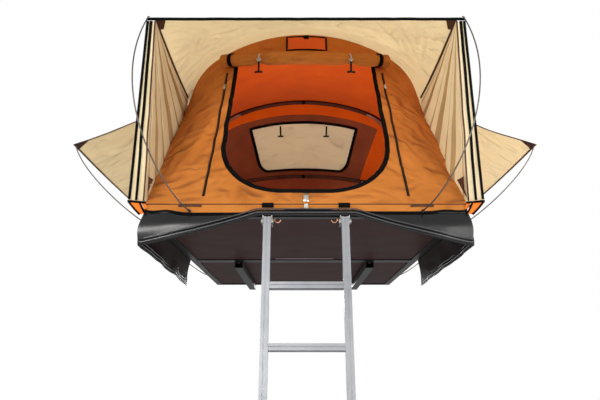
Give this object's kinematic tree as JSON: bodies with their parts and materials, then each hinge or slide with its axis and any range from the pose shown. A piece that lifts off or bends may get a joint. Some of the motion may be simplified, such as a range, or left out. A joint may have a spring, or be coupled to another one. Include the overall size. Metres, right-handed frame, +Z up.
{
  "type": "roof top tent",
  "caption": "Fold-out roof top tent on a hinged two-part base, with hinged bows, canvas body, door, fly sheet on spring rods, hanging travel cover and sliding ladder.",
  "frame": {"origin": "centre of the crossbar bolt pattern, on the lower face of the mounting rails", "axes": "+Z up, -Y towards the ladder and the door, X across the tent"},
  "size_m": [2.448, 3.0419, 3.4999],
  "materials": {
    "board": "satin",
    "aluminium": "satin",
    "steel": "satin",
    "brass_hook": "satin",
    "mattress": "matte",
    "canvas": "matte",
    "mesh": "matte",
    "trim_black": "matte",
    "orange_panel": "matte",
    "fly": "matte",
    "pole_black": "matte",
    "rubber": "matte",
    "cover": "gloss"
  },
  "bodies": {
    "rear_base": {"rear_board": "board", "rear_edge_frame": "aluminium", "mount_rails": "aluminium", "rail_screws": "steel", "rear_hinge_plates": "steel", "hinge_pins": "steel", "rear_bow_pins": "steel", "rear_mattress": "mattress", "rear_canvas": "canvas", "rear_window": "mesh", "fly_roof_rear": "fly", "awning_left_rear": "fly", "awning_right_rear": "fly", "side_rods_rear": "steel", "side_sockets_rear": "pole_black"},
    "front_base": {"front_board": "board", "front_edge_frame": "aluminium", "front_hinge_plates": "steel", "front_bow_pins": "steel", "front_mattress": "mattress", "front_canvas": "canvas", "door_roll": "canvas", "door_straps": "trim_black", "door_binding": "trim_black", "door_zip_left": "trim_black", "door_zip_right": "trim_black", "vent_panel": "orange_panel", "sill_tabs": "trim_black", "fly_roof_front": "fly", "fly_porch": "fly", "porch_side_left": "fly", "porch_side_right": "fly", "porch_pole": "pole_black", "awning_left_front": "fly", "awning_right_front": "fly", "front_rods": "steel", "side_rods_front": "steel", "front_sockets": "pole_black", "side_sockets_front": "pole_black", "corner_straps": "orange_panel", "cover_band": "cover", "cover_zip": "cover", "underside_strip": "aluminium", "ladder_brackets": "steel", "ladder_hooks": "brass_hook", "ladder_pins": "steel"},
    "rear_bow": {"rear_bow": "aluminium"},
    "low_rear_bow": {"low_rear_bow": "aluminium"},
    "front_bow": {"front_bow": "aluminium"},
    "ladder_upper": {"upper_stiles": "aluminium", "upper_rungs": "aluminium", "slide_guides": "pole_black"},
    "ladder_lower": {"lower_stiles": "aluminium", "lower_rungs": "aluminium", "ladder_feet": "rubber"},
    "zip_left": {"zip_slider_left": "steel"},
    "zip_right": {"zip_slider_right": "steel"}
  },
  "joints": [
    {"name": "base_fold", "type": "hinge", "parent": "rear_base", "child": "front_base", "pos_m": [0, -0.631, 0.214], "axis": [-1, 0, 0], "range_deg": [0, 180], "deforming": ["rear_canvas", "rear_window", "fly_roof_rear", "awning_left_rear", "awning_right_rear", "side_rods_rear", "front_canvas", "door_roll", "door_straps", "door_binding", "door_zip_left", "door_zip_right", "vent_panel", "sill_tabs", "fly_roof_front", "fly_porch", "porch_side_left", "porch_side_right", "porch_pole", "awning_left_front", "awning_right_front", "front_rods", "side_rods_front", "corner_straps", "cover_band", "cover_zip", "zip_slider_left", "zip_slider_right"]},
    {"name": "rear_bow_swing", "type": "hinge", "parent": "rear_base", "child": "rear_bow", "pos_m": [0, -0.631, 0.214], "axis": [-1, 0, 0], "range_deg": [0, 66]},
    {"name": "low_bow_swing", "type": "hinge", "parent": "rear_base", "child": "low_rear_bow", "pos_m": [0, -0.586, 0.184], "axis": [-1, 0, 0], "range_deg": [0, 36]},
    {"name": "front_bow_swing", "type": "hinge", "parent": "front_base", "child": "front_bow", "pos_m": [0, -0.676, 0.184], "axis": [1, 0, 0], "range_deg": [0, 61]},
    {"name": "ladder_swing", "type": "hinge", "parent": "front_base", "child": "ladder_upper", "pos_m": [0, -1.927, 0.014], "axis": [-1, 0, 0], "range_deg": [-13, 60]},
    {"name": "ladder_slide", "type": "slide", "parent": "ladder_upper", "child": "ladder_lower", "axis": [0, 0.225, 0.9744], "range_m": [0, 0.97]},
    {"name": "left_zip_slide", "type": "slide", "parent": "front_base", "child": "zip_left", "axis": [-0.0254, -0.5362, -0.8437], "range_m": [0, 0.82]},
    {"name": "right_zip_slide", "type": "slide", "parent": "front_base", "child": "zip_right", "axis": [0.0254, -0.5362, -0.8437], "range_m": [0, 0.82]}
  ],
  "couplings": [
    {"joint": "rear_bow_swing", "follows": "base_fold", "ratio": 0.36667},
    {"joint": "low_bow_swing", "follows": "base_fold", "ratio": 0.2},
    {"joint": "front_bow_swing", "follows": "base_fold", "ratio": 0.33889}
  ]
}
